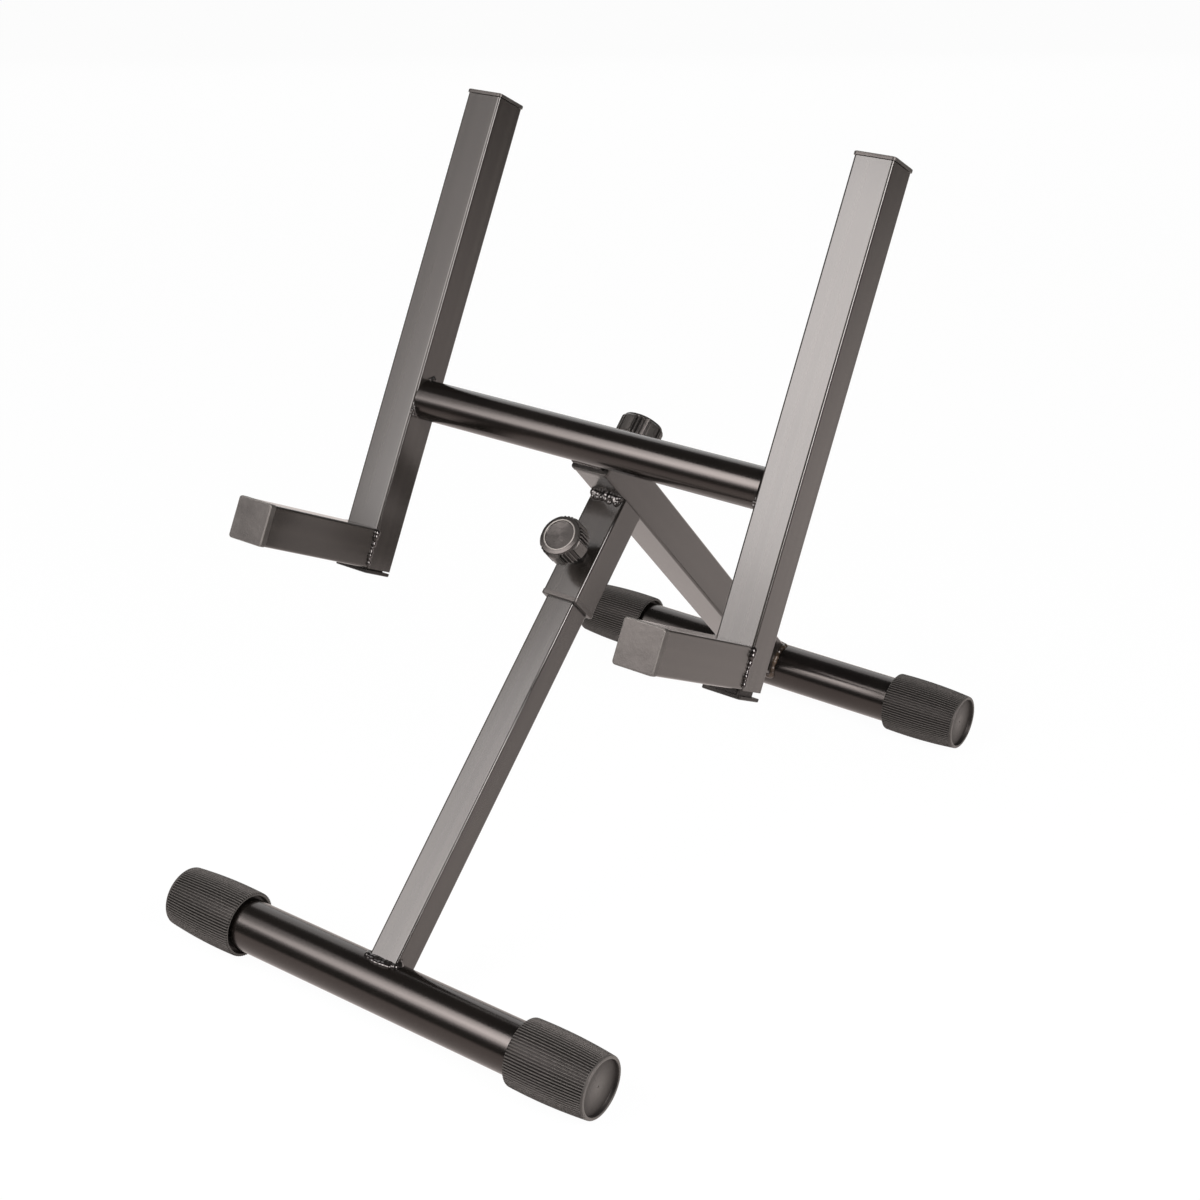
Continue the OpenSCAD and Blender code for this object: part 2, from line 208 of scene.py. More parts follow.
def moulded_plastic(name, low, high, wear_and_painted_light, roughness, gloss=0.42):
    """Matte moulded plastic with a fine spark-eroded grain; a mask lightens it as painted light on edges, lips,
    crests and grips, partly wear on cap ribs, and leaves grooves and recesses dark as painted shade.
    """
    material, tree, surface, add = shader(name, roughness, gloss)
    place = add("ShaderNodeTexCoord").outputs["Object"]
    cloud = add("ShaderNodeTexNoise", Scale=60.0, Detail=4.0, Roughness=0.6)
    grain = add("ShaderNodeTexNoise", Scale=1500.0, Detail=2.0, Roughness=0.6)
    for node in (cloud, grain):
        tree.links.new(place, node.inputs["Vector"])
    body_tint = ramp(add, tree, cloud.outputs["Fac"], [(0.3, grey(low, 0.1)), (0.75, grey(high, 0.1))])
    # This mask carries painted light and shade: highlights on edges and lips, lighter crests and grips, shade in
    # grooves and recesses; on the cap ribs partly wear.
    light_and_wear_mask = add("ShaderNodeAttribute", attribute_name="wear_and_painted_light")
    blend = add("ShaderNodeMix", data_type="RGBA")
    tree.links.new(light_and_wear_mask.outputs["Fac"], blend.inputs[0])
    tree.links.new(body_tint, blend.inputs[6])
    blend.inputs[7].default_value = grey(wear_and_painted_light, 0.1)
    tree.links.new(blend.outputs[2], surface.inputs["Base Color"])
    rough = add("ShaderNodeMapRange", **{"To Min": roughness - 0.06, "To Max": roughness + 0.1})
    tree.links.new(cloud.outputs["Fac"], rough.inputs["Value"])
    tree.links.new(rough.outputs["Result"], surface.inputs["Roughness"])
    sunk = add("ShaderNodeBump", Strength=0.25, Distance=0.0012)
    tree.links.new(cloud.outputs["Fac"], sunk.inputs["Height"])
    bump = add("ShaderNodeBump", Strength=0.35, Distance=0.00008)
    tree.links.new(grain.outputs["Fac"], bump.inputs["Height"])
    tree.links.new(sunk.outputs["Normal"], bump.inputs["Normal"])
    tree.links.new(bump.outputs["Normal"], surface.inputs["Normal"])
    return material


# Its two dark tones show where the mask is low, painted shade in the rib grooves and the dish wall; the third is
# the lighter tone of crests, rim and end.
cap_plastic = moulded_plastic("black_plastic_bar_cap", 0.002, 0.003, 0.085, 0.42, 0.3)


def barrel_radius(x):
    """Outer radius of a cap at x from its mouth."""
    return CAP_R - CAP_BULGE_R + math.sqrt(CAP_BULGE_R ** 2 - (x - CAP_PEAK) ** 2)


def arc_points(centre_r, centre_x, radius, start, end, steps):
    """Points of a rounded edge in a lathe outline, as (radius, x), from one angle to another."""
    turns = [math.radians(start + (end - start) * i / steps) for i in range(steps + 1)]
    return [(centre_r + radius * math.sin(a), centre_x + radius * math.cos(a)) for a in turns]


def cap_outline():
    """Half section of a cap as (radius, x from the mouth): bore, mouth, barrel, rim, dish."""
    bore = BAR_R + CAP_FIT
    inside = CAP_LEN - CAP_END
    mouth_in = BAR_R + MOUTH_GAP
    start = barrel_radius(MOUTH_ROUND) - MOUTH_ROUND
    stop = barrel_radius(CAP_LEN - END_ROUND) - END_ROUND
    rim_in = barrel_radius(CAP_LEN) - END_RIM
    points = [(0, inside), (bore, inside), (bore, MOUTH_DEPTH), (mouth_in, MOUTH_DEPTH)]
    points += [(mouth_in, CAP_EDGE), (mouth_in + MOUTH_FLARE, 0)]
    points += arc_points(start, MOUTH_ROUND, MOUTH_ROUND, 180, 90, 4)
    ring_x = [CAP_LEN - SMOOTH_RING - RIB_RUNOUT, CAP_LEN - SMOOTH_RING]
    run = (ring_x[0] - MOUTH_ROUND) / BARREL_STEPS
    for x in [MOUTH_ROUND + run * i for i in range(1, BARREL_STEPS)] + ring_x:
        points.append((barrel_radius(x), x))
    points += arc_points(stop, CAP_LEN - END_ROUND, END_ROUND, 90, 0, 5)
    points += [(rim_in + CAP_EDGE, CAP_LEN), (rim_in, CAP_LEN - CAP_EDGE)]
    floor_x = CAP_LEN - END_DISH
    points += [(rim_in, floor_x + CAP_EDGE), (rim_in - CAP_EDGE, floor_x)]
    points += [(GATE_R, floor_x), (GATE_R * 0.8, floor_x - GATE_DEPTH), (0, floor_x - GATE_DEPTH)]
    return points


def lathe(bm, outline, steps):
    """Turns an outline of (radius, z) points round the Z axis into a closed shell."""
    verts = [bm.verts.new((r, 0, z)) for r, z in outline]
    edges = [bm.edges.new(pair) for pair in zip(verts, verts[1:])]
    bmesh.ops.spin(bm, geom=verts + edges, cent=ORIGIN, axis=(0, 0, 1), angle=math.tau,
                   steps=steps, use_merge=True)
    bmesh.ops.remove_doubles(bm, verts=bm.verts[:], dist=MERGE)


def ribbed_cap(name, node, bar_mid, side, body):
    """Cap turned from its outline, with ribs pressed into the barrel; a mask leaves the rib grooves and the dish's
    inner wall dark as painted shade and lightens the crests, partly as wear.
    """
    bm = bmesh.new()
    lathe(bm, cap_outline(), CAP_RIBS * RIB_STEPS)
    wear_and_painted_light = bm.verts.layers.float.new("wear_and_painted_light")
    for v in bm.verts:
        r = math.hypot(v.co.x, v.co.y)
        from_end = CAP_LEN - v.co.z
        on_barrel = r > barrel_radius(v.co.z) - MOUTH_ROUND * 0.9 and r > BAR_R + MOUTH_GAP + 0.3 * MM
        if not on_barrel:
            # The dish's inner wall stays dark: painted shade.
            in_wall = END_RIM * 0.8 < barrel_radius(CAP_LEN) - r < END_RIM * 1.2 and from_end > 0.2 * MM
            v[wear_and_painted_light] = DISH_WALL_PAINTED_SHADE if in_wall else END_TONE
            continue
        fade = min(1, max(0, (from_end - SMOOTH_RING) / RIB_RUNOUT))
        wave = math.cos(CAP_RIBS * math.atan2(v.co.y, v.co.x))
        rib = min(1, max(0, RIB_SHARE + RIB_FLANK * wave))
        down = RIB_H * (1 - rib) * fade
        # The rib grooves get no lightening, painted shade; the crests are lighter, partly as wear.
        v[wear_and_painted_light] = RIB_CREST_TONE * (rib * fade + RING_TONE_SHARE * (1 - fade))
        v.co.x *= 1 - down / r
        v.co.y *= 1 - down / r
    low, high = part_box(node)
    end_x = max(abs(low.x), abs(high.x))
    mouth = Vector((bar_mid.x + side * (end_x - CAP_LEN), bar_mid.y, bar_mid.z))
    turn = Matrix.Rotation(side * math.pi / 2, 4, "Y")
    bmesh.ops.transform(bm, matrix=Matrix.Translation(mouth) @ turn, verts=bm.verts[:])
    return finish_piece(bm, name, cap_plastic, body, [node], 60, weighted=False)


rear_axle = middle("rear_floor_bar")
front_axle = middle("front_floor_bar")
for place, body, axle in (("rear", "rear_frame", rear_axle), ("front", "front_leg", front_axle)):
    for label, side in (("left", -1), ("right", 1)):
        ribbed_cap(f"{place}_{label}_ribbed_cap", f"{place}_cap_{label}", axle, side, body)

# Square tubes. The main tube, leg sleeve, uprights and arms are 30 mm square steel tube, and the
# leg and mast are 24 mm tube that slides in it. All are sawn, coped and welded before coating.
TUBE_W = 30 * MM
TUBE_R = 2 * MM
TUBE_WALL = 1.5 * MM
INNER_W = 24 * MM
INNER_R = 1.9 * MM
COPE = 4 * MM
POLISHED = 0.09
ACROSS = Vector((1, 0, 0))
joint_axis = {j["name"]: Vector(j["axis"]) for j in frame["joints"]}


def coat_on_square_tube(name, tilt):
    """Powder coat on drawn square tube: faint lengthwise streaks show through, corners are polished."""
    material, tree, surface, add = shader(name, 0.25, 0.32, coat=0.55, coat_roughness=0.14)
    place = add("ShaderNodeTexCoord").outputs["Object"]
    turn = add("ShaderNodeMapping", Rotation=(tilt, 0, 0))
    tree.links.new(place, turn.inputs["Vector"])
    stretch = add("ShaderNodeMapping", Scale=(1, 1, 0.012))
    tree.links.new(turn.outputs["Vector"], stretch.inputs["Vector"])
    streak = add("ShaderNodeTexNoise", Scale=650.0, Detail=4.0, Roughness=0.65)
    broad = add("ShaderNodeTexNoise", Scale=160.0, Detail=2.0, Roughness=0.5)
    for node in (streak, broad):
        tree.links.new(stretch.outputs["Vector"], node.inputs["Vector"])
    peel = add("ShaderNodeTexNoise", Scale=1100.0, Detail=2.0, Roughness=0.5)
    cloud = add("ShaderNodeTexNoise", Scale=14.0, Detail=3.0, Roughness=0.6)
    for node in (peel, cloud):
        tree.links.new(place, node.inputs["Vector"])
    tint = ramp(add, tree, broad.outputs["Fac"], [(0.3, grey(0.011, 0.16)), (0.75, grey(0.02, 0.18))])
    tree.links.new(tint, surface.inputs["Base Color"])
    mix = add("ShaderNodeMath", operation="ADD")
    tree.links.new(streak.outputs["Fac"], mix.inputs[0])
    tree.links.new(cloud.outputs["Fac"], mix.inputs[1])
    rough = add("ShaderNodeMapRange", **{"From Min": 0.6, "From Max": 1.4, "To Min": 0.22, "To Max": 0.27})
    tree.links.new(mix.outputs[0], rough.inputs["Value"])
    edge_mask = add("ShaderNodeAttribute", attribute_name="corner")
    polish = add("ShaderNodeMix", data_type="FLOAT")
    tree.links.new(edge_mask.outputs["Fac"], polish.inputs[0])
    tree.links.new(rough.outputs["Result"], polish.inputs[2])
    polish.inputs[3].default_value = POLISHED
    tree.links.new(polish.outputs[0], surface.inputs["Roughness"])
    lines = add("ShaderNodeBump", Strength=0.015, Distance=0.00015)
    tree.links.new(streak.outputs["Fac"], lines.inputs["Height"])
    fine = add("ShaderNodeBump", Strength=0.1, Distance=0.0001)
    tree.links.new(peel.outputs["Fac"], fine.inputs["Height"])
    tree.links.new(lines.outputs["Normal"], fine.inputs["Normal"])
    tree.links.new(fine.outputs["Normal"], surface.inputs["Normal"])
    return material


up_main = joint_axis["cradle_slide"]
up_leg = joint_axis["leg_slide"]
arm_top = next(m for m in frame["record"]["mounts"] if m["name"] == "right_arm_top")
up_upright = Vector(arm_top["axis"])
arm_forward = Vector((0, -up_upright.z, up_upright.y))


def tilt_of(axis):
    """Turn about X that brings a direction in the YZ plane onto Z."""
    return math.atan2(axis.y, axis.z)


coat_main = coat_on_square_tube("black_coat_main_tube", tilt_of(up_main))
coat_leg = coat_on_square_tube("black_coat_leg", tilt_of(up_leg))
coat_upright = coat_on_square_tube("black_coat_upright", tilt_of(up_upright))
coat_arm = coat_on_square_tube("black_coat_arm", tilt_of(arm_forward))


def rounded_square(bm, width, corner, steps=6):
    """One flat face: a square with rounded corners, in the XY plane."""
    corners = bmesh.ops.create_grid(bm, x_segments=1, y_segments=1, size=width / 2)["verts"]
    bmesh.ops.bevel(bm, geom=corners, offset=corner, offset_type="OFFSET", segments=steps,
                    profile=0.5, affect="VERTICES", material=-1)
    return bm.faces[:]


def extrude_faces(bm, faces, height):
    """Turns flat faces into a closed solid of that height along Z."""
    made = bmesh.ops.extrude_face_region(bm, geom=faces)["geom"]
    moved = [g for g in made if isinstance(g, bmesh.types.BMVert)]
    bmesh.ops.translate(bm, verts=moved, vec=(0, 0, height))


def square_tube(name, node, body, coat, place, width, corner, start, end):
    """Hollow square tube along the place's Z, from start to end."""
    bm = bmesh.new()
    face = rounded_square(bm, width, corner)
    bmesh.ops.inset_individual(bm, faces=face, thickness=TUBE_WALL, use_even_offset=True)
    bmesh.ops.delete(bm, geom=[max(bm.faces, key=lambda f: f.calc_area())], context="FACES_ONLY")
    extrude_faces(bm, bm.faces[:], end - start)
    edge_mask = bm.verts.layers.float.new("corner")
    for v in bm.verts:
        v[edge_mask] = float(min(abs(v.co.x), abs(v.co.y)) > width / 2 - corner + 0.05 * MM)
    bmesh.ops.translate(bm, verts=bm.verts[:], vec=(0, 0, start))
    bmesh.ops.transform(bm, matrix=place, verts=bm.verts[:])
    return finish_piece(bm, name, coat, body, [node], 50)


def standing(origin, z_axis):
    """Place whose Z runs along z_axis and whose X stays the stand's own X."""
    z = z_axis.normalized()
    y = z.cross(ACROSS)
    turn = Matrix((ACROSS, y, z)).transposed().to_4x4()
    return Matrix.Translation(origin) @ turn


main_place = standing(rear_axle, up_main)
leg_place = standing(front_axle, up_leg)


def reach(node, place, axis_index=2):
    """Lowest and highest place of a CAD node along one axis of a place."""
    to_local = place.inverted()
    values = [(to_local @ v.co)[axis_index] for v in frame["nodes"][node].data.vertices]
    return min(values), max(values)


mouth_main = reach("main_tube", main_place)[1]
sleeve_low, sleeve_high = reach("leg_sleeve", leg_place)
leg_top = reach("leg_tube", leg_place)[1]
square_tube("main_square_tube", "main_tube", "rear_frame", coat_main, main_place,
            TUBE_W, TUBE_R, BAR_R - COPE * 2, mouth_main)
square_tube("sleeve_square_tube", "leg_sleeve", "rear_frame", coat_leg, leg_place,
            TUBE_W, TUBE_R, sleeve_low, sleeve_high)
square_tube("leg_square_tube", "leg_tube", "front_leg", coat_leg, leg_place,
            INNER_W, INNER_R, BAR_R - COPE, leg_top)
mast_low, mast_high = reach("mast", main_place)
square_tube("mast_square_tube", "mast", "cradle", coat_main, main_place,
            INNER_W, INNER_R, mast_low, mast_high)

# Cradle. Two uprights lean back and two arms point forward from their lower ends; a 30 mm round
# crossbar is welded between the uprights and carries the mast.
CROSSBAR_R = 15 * MM
crossbar_mid = middle("crossbar")
cradle_place = standing(crossbar_mid, up_upright)
upright_low, upright_high = reach("upright_right", cradle_place)
arm_start, arm_end = sorted(-y for y in reach("arm_right", cradle_place, 1))
arm_low, arm_high = reach("arm_right", cradle_place)


def upright_place(label):
    """Place with Z up along an upright and its origin level with the crossbar."""
    return cradle_place @ Matrix.Translation((middle(f"upright_{label}").x, 0, 0))


def arm_place(label):
    """Place with Z forward along an arm."""
    lift = Matrix.Translation((0, 0, (arm_low + arm_high) / 2))
    return upright_place(label) @ lift @ Matrix.Rotation(math.pi / 2, 4, "X")


round_tube("crossbar_tube", "crossbar", CROSSBAR_R, "cradle")
for label in ("left", "right"):
    square_tube(f"{label}_upright_tube", f"upright_{label}", "cradle", coat_upright, upright_place(label),
                TUBE_W, TUBE_R, upright_low, upright_high)
    square_tube(f"{label}_arm_tube", f"arm_{label}", "cradle", coat_arm, arm_place(label),
                TUBE_W, TUBE_R, arm_start, arm_end)

# Welds. The joints are run or tacked by hand with lumpy arc-weld beads and coated with the tube: all
# round on the rear bar, front and back only on the leg and sleeve, one bead down each side of an arm,
# short tacks on the crossbar.
BEAD_GRAIN = 0.4 * MM
SQUASH = 0.1


def weld_coat(name, low, high, warm, roughness):
    """Coat on rough weld metal: its tone is darker in the dips of its bump and lighter on the ripples."""
    material, tree, surface, add = shader(name, roughness, 0.6, coat=0.4, coat_roughness=0.08)
    place = add("ShaderNodeTexCoord").outputs["Object"]
    cloud = add("ShaderNodeTexNoise", Scale=170.0, Detail=2.0, Roughness=0.5)
    tree.links.new(place, cloud.inputs["Vector"])
    tint = ramp(add, tree, cloud.outputs["Fac"], [(0.35, grey(low, warm)), (0.75, grey(high, warm))])
    tree.links.new(tint, surface.inputs["Base Color"])
    bump = add("ShaderNodeBump", Strength=0.25, Distance=0.0006)
    tree.links.new(cloud.outputs["Fac"], bump.inputs["Height"])
    tree.links.new(bump.outputs["Normal"], surface.inputs["Normal"])
    return material


black_weld = weld_coat("black_coat_weld", 0.003, 0.008, 0.12, 0.2)
brown_weld = weld_coat("scorched_coat_weld", 0.008, 0.04, 0.6, 0.3)


def wobble(i, seed):
    """Small repeatable unevenness of a hand-run bead."""
    return math.sin(i * 2.399 + seed) * 0.5 + math.sin(i * 0.917 + seed * 3) * 0.5


def bead_along(path, radius, step, rough=0.14):
    """Drops of weld along a path of points, as (point, radius)."""
    lengths = [(b - a).length for a, b in zip(path, path[1:])]
    total = sum(lengths)
    count = max(2, round(total / step))
    drops = []
    for i in range(count):
        d = total * (i + 0.5) / count
        k = 0
        while d > lengths[k]:
            d -= lengths[k]
            k += 1
        point = path[k].lerp(path[k + 1], d / lengths[k])
        drops.append((point, radius * (1 + rough * wobble(i, radius * 900))))
    return drops


def weld(name, drops, place, body, node, material=black_weld, flow_steps=4):
    """One bead: overlapping drops of metal, run together by a fine remesh and smoothed."""
    bm = bmesh.new()
    for i, (point, radius) in enumerate(drops):
        squash = Matrix.Diagonal((1 + SQUASH * wobble(i, 2), 1 + SQUASH * wobble(i, 5), 1, 1))
        spot = place @ Matrix.Translation(point) @ squash
        bmesh.ops.create_icosphere(bm, subdivisions=2, radius=radius, matrix=spot)
    piece = finish_piece(bm, name, material, body, [node], 180, weighted=False)
    melt = piece.modifiers.new("run together", "REMESH")
    melt.mode = "VOXEL"
    melt.voxel_size = BEAD_GRAIN
    melt.use_smooth_shade = True
    flow = piece.modifiers.new("drops flow together", "SMOOTH")
    flow.factor = 0.5
    flow.iterations = flow_steps
    return piece


def on_bar(x, y, bar_r):
    """Point on top of a round bar along X, at x and y in millimetres."""
    return Vector((x * MM, y * MM, math.sqrt(bar_r ** 2 - (y * MM) ** 2)))


def seam_on_bar(corners, bar_r, steps=8):
    """Path over a round bar through corners given as (x, y) in millimetres."""
    path = []
    for (x0, y0), (x1, y1) in zip(corners, corners[1:]):
        path += [on_bar(x0 + (x1 - x0) * i / steps, y0 + (y1 - y0) * i / steps, bar_r) for i in range(steps)]
    return path + [on_bar(*corners[-1], bar_r)]


BEAD_ALL_ROUND = ((-15, -15), (15, -15), (15, 15), (-15, 15), (-15, -15))
weld("rear_bar_bead", bead_along(seam_on_bar(BEAD_ALL_ROUND, BAR_R), 2.5 * MM, 2 * MM, 0.2), main_place,
     "rear_frame", "rear_bar_weld", brown_weld, 10)

LEG_FRONT = ((-12.6, -10), (-12.6, -12.4), (12.6, -12.4), (12.8, -7.5))
LEG_FRONT_FOOT = ((-10, -14), (-2, -14.8), (9, -14))
LEG_BACK = ((-12.6, 10), (-12.6, 12.4), (12.6, 12.4), (12.6, 10))
LEG_SPIKE_FOOT = (12.9, -9.5)
LEG_SPIKE = ((2.2, 1.5), (4, 1), (5.2, 0.7))
leg_drops = bead_along(seam_on_bar(LEG_FRONT, BAR_R), 2.7 * MM, 1.5 * MM, 0.16)
leg_drops += bead_along(seam_on_bar(LEG_BACK, BAR_R), 2.3 * MM, 2 * MM)
leg_drops += [(on_bar(*LEG_SPIKE_FOOT, BAR_R) + Vector((0, 0, z * MM)), r * MM) for z, r in LEG_SPIKE]
leg_drops += bead_along(seam_on_bar(LEG_FRONT_FOOT, BAR_R), 2.1 * MM, 1.4 * MM, 0.2)
weld("front_bar_bead", leg_drops, leg_place, "front_leg", "leg_weld", flow_steps=16)

# Rows of the sleeve's bead in millimetres: place from front to back, drop below its end, radius, step.
SLEEVE_ROWS = ((-15.6, 1.1, 2.9, 2.1), (-15.2, 3.6, 2.4, 3.7), (-15.1, 5, 1.8, 6.1), (15.2, 1.1, 2.3, 2.4))
SLEEVE_BEAD_HALF = 12.8
ROW_SWAY = 0.6 * MM
sleeve_drops = []
for y, drop, r, step in SLEEVE_ROWS:
    run = [Vector((x * MM, y * MM, sleeve_high - drop * MM)) for x in (-SLEEVE_BEAD_HALF, SLEEVE_BEAD_HALF)]
    sleeve_drops += [(point + Vector((0, 0, ROW_SWAY * wobble(i, drop))), radius)
                     for i, (point, radius) in enumerate(bead_along(run, r * MM, step * MM, 0.3))]
weld("sleeve_bead", sleeve_drops, leg_place, "rear_frame", "sleeve_weld", flow_steps=7)

MAST_HALF = INNER_W / 2
MAST_BEAD_DROP = 9 * MM
mast_drops = []
for y in (-MAST_HALF, MAST_HALF):
    run = [Vector((x, y, -MAST_BEAD_DROP)) for x in (-MAST_HALF, MAST_HALF)]
    mast_drops += bead_along(run, 2.1 * MM, 2.6 * MM)
cross_at = (main_place.inverted() @ crossbar_mid).z
weld("mast_bead", mast_drops, main_place @ Matrix.Translation((0, 0, cross_at)), "cradle", "mast_weld")

# Drops of the crossbar's tacks on an upright's face, in millimetres: two places and a radius.
TACK_ABOVE = ((-3.6, 15, 1.7), (-1.2, 15.6, 2.1), (1.4, 15.8, 2), (3.7, 15, 1.7), (0.4, 17.6, 1.3))
TACK_BELOW = ((-13.2, -7.6, 1.7), (-12, -10.2, 2.2), (-9.6, -12.4, 2), (-6.8, -13.8, 1.6),
              (-14.6, -10.6, 1.6), (-12.2, -13.6, 1.7), (-14.8, -13, 1.2))
ARM_BEAD_R = 2.6 * MM
ARM_BEAD_STEP = 2.9 * MM
ARM_BEAD_SWAY = 0.7 * MM
ARM_BEAD_SUNK = 0.1 * MM
for label, side in (("left", -1), ("right", 1)):
    face_x = side * abs(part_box("crossbar")[1].x)
    tacks = [(Vector((face_x, y * MM, z * MM)), r * MM) for y, z, r in TACK_ABOVE + TACK_BELOW]
    weld(f"crossbar_{label}_tacks", tacks, cradle_place, "cradle", f"crossbar_weld_{label}")
    seams = []
    for offset in (-TUBE_W / 2 + ARM_BEAD_SUNK, TUBE_W / 2 - ARM_BEAD_SUNK):
        face = middle(f"upright_{label}").x + offset
        line = [Vector((face, -TUBE_W / 2, z)) for z in (arm_low + 2.5 * MM, arm_high - 1.5 * MM)]
        seams += [(p + Vector((0, ARM_BEAD_SWAY * wobble(i, 1), 0)), r * (0.78 + 0.035 * i)) for i, (p, r)
                  in enumerate(bead_along(line, ARM_BEAD_R, ARM_BEAD_STEP, 0.3))]
    weld(f"arm_{label}_beads", seams, cradle_place, "cradle", f"arm_weld_{label}", flow_steps=7)

# Bushings. A moulded plastic collar sits in the mouth of the main tube and of the sleeve, and the
# sliding tube runs in it; its lip shows outside.
LIP_H = 3.5 * MM
LIP_OUT = 0.5 * MM
BUSHING_DEPTH = 25 * MM
FIT = 0.1 * MM
EDGE = 0.8 * MM
# Its third tone paints a highlight along the rounded edge of each plug.
plug_plastic = moulded_plastic("black_plastic_plug", 0.021, 0.046, 0.1, 0.3)


def soften(bm, faces, offset, steps=3):
    """Rounds the outer edges of a set of faces."""
    edges = list({e for f in faces for e in f.edges if e.is_manifold})
    bmesh.ops.bevel(bm, geom=edges, offset=offset, offset_type="OFFSET", segments=steps,
                    profile=0.5, affect="EDGES", material=-1, clamp_overlap=True)


def join_shape(bm, shape):
    """Adds a shape to a mesh under work and frees it."""
    mesh = bpy.data.meshes.new("shape")
    shape.to_mesh(mesh)
    shape.free()
    bm.from_mesh(mesh)
    bpy.data.meshes.remove(mesh)


def soft_plate(bm, width, corner, low, high, edge):
    """Square plate with rounded corners between two heights, its upper edge rounded."""
    plate = bmesh.new()
    extrude_faces(plate, rounded_square(plate, width, corner), high - low)
    bmesh.ops.translate(plate, verts=plate.verts[:], vec=(0, 0, low))
    bmesh.ops.recalc_face_normals(plate, faces=plate.faces[:])
    soften(plate, [f for f in plate.faces if f.normal.z > 0.9 and len(f.verts) > 8], edge)
    join_shape(bm, plate)


def square_ring(bm, width, corner, hole, hole_corner, low, high, edge=0):
    """Square ring between two heights, its outer top edge rounded if edge is given."""
    ring = bmesh.new()
    rounded_square(ring, width, corner)
    rounded_square(ring, hole, hole_corner)
    bmesh.ops.delete(ring, geom=ring.faces[:], context="FACES_ONLY")
    bmesh.ops.bridge_loops(ring, edges=ring.edges[:])
    extrude_faces(ring, ring.faces[:], high - low)
    bmesh.ops.translate(ring, verts=ring.verts[:], vec=(0, 0, low))
    bmesh.ops.recalc_face_normals(ring, faces=ring.faces[:])
    if edge:
        limit = (width + hole) / 4
        on_top = [e for e in ring.edges if all(v.co.z > high - MERGE for v in e.verts)]
        outer = [e for e in on_top if all(max(abs(v.co.x), abs(v.co.y)) > limit for v in e.verts)]
        rim = [e for e in outer if any(abs(f.normal.z) < 0.5 for f in e.link_faces)]
        bmesh.ops.bevel(ring, geom=rim, offset=edge, offset_type="OFFSET", segments=3, profile=0.5,
                        affect="EDGES", material=-1, clamp_overlap=True)
    join_shape(bm, ring)


def collar(name, node, place, body):
    """Bushing along the place's Z, the tube's mouth at z = 0 and the lip above it."""
    bm = bmesh.new()
    hole = INNER_W + 2 * FIT
    square_ring(bm, TUBE_W - 2 * TUBE_WALL - 2 * FIT, TUBE_R - FIT, hole, INNER_R, -BUSHING_DEPTH, 0)
    square_ring(bm, TUBE_W + 2 * LIP_OUT, TUBE_R + LIP_OUT, hole, INNER_R, 0, LIP_H, EDGE)
    bmesh.ops.transform(bm, matrix=place, verts=bm.verts[:])
    return finish_piece(bm, name, plug_plastic, body, [node], 50)


collar("main_tube_collar", "main_bushing", main_place @ Matrix.Translation((0, 0, mouth_main)), "rear_frame")
collar("sleeve_collar", "sleeve_bushing",
       leg_place @ Matrix.Translation((0, 0, sleeve_low)) @ Matrix.Rotation(math.pi, 4, "X"), "rear_frame")

# End plugs. Moulded plastic: thin capped lids on the uprights, deep caps on the arms, and plates
# under the uprights that the weld inside keeps from going fully home.
TOP_FLANGE = 3 * MM
TOP_OVER = 1 * MM
ARM_FLANGE = 4 * MM
ARM_OVER = 0.4 * MM
PLUG_FLANGE = 2.5 * MM
LID_GAP = 0.4 * MM
ARM_CUFF = 1.3 * MM
ARM_EDGE = 1.1 * MM
STEM = 16 * MM
FIN_W = 26.6 * MM
FIN_OUT = 2 * MM
FIN_H = 1 * MM
FIN_PITCH = 4 * MM
FINS = 3
# Its third tone paints a highlight along the foot plug's rounded edge.
foot_plastic = moulded_plastic("black_plastic_foot_plug", 0.006, 0.014, 0.05, 0.42, 0.25)


def plug(name, node, place, width, corner, thick, stem_len, edge=EDGE, foot=0, material=plug_plastic):
    """Flange from z = foot up with rounded outer edge, and below it a hollow core with fins."""
    bm = bmesh.new()
    soft_plate(bm, width, corner, foot, thick, edge)
    core = FIN_W - 2 * FIN_OUT
    square_ring(bm, core, TUBE_R, core - 2 * FIN_OUT, TUBE_R / 2, -stem_len, max(0, foot))
    for i in range(FINS):
        low = i * FIN_PITCH - stem_len
        square_ring(bm, FIN_W, TUBE_R, core - FIN_OUT, TUBE_R / 2, low, low + FIN_H)
    # The flange's rounded top edge is painted lighter: a painted highlight line.
    edge_mask = bm.verts.layers.float.new("wear_and_painted_light")
    for v in bm.verts:
        v[edge_mask] = float(thick - edge * 0.95 < v.co.z < thick - edge * 0.03)
    bmesh.ops.transform(bm, matrix=place, verts=bm.verts[:])
    return finish_piece(bm, name, material, "cradle", [node], 50)


for label in ("left", "right"):
    post = upright_place(label)
    plug(f"{label}_top_lid", f"upright_cap_{label}", post @ Matrix.Translation((0, 0, upright_high)),
         TUBE_W + 2 * TOP_OVER, TUBE_R + TOP_OVER, TOP_FLANGE, STEM, foot=LID_GAP)
    flange_low = reach(f"upright_plug_{label}", cradle_place)[0]
    gap = upright_low - flange_low - PLUG_FLANGE
    plug(f"{label}_foot_plug", f"upright_plug_{label}",
         post @ Matrix.Translation((0, 0, upright_low - gap)) @ Matrix.Rotation(math.pi, 4, "X"),
         TUBE_W, TUBE_R, PLUG_FLANGE, STEM + gap, material=foot_plastic)
    plug(f"{label}_arm_end_cap", f"arm_cap_{label}", arm_place(label) @ Matrix.Translation((0, 0, arm_end)),
         TUBE_W + 2 * ARM_OVER, TUBE_R + ARM_OVER, ARM_FLANGE, STEM, ARM_EDGE, -ARM_CUFF)

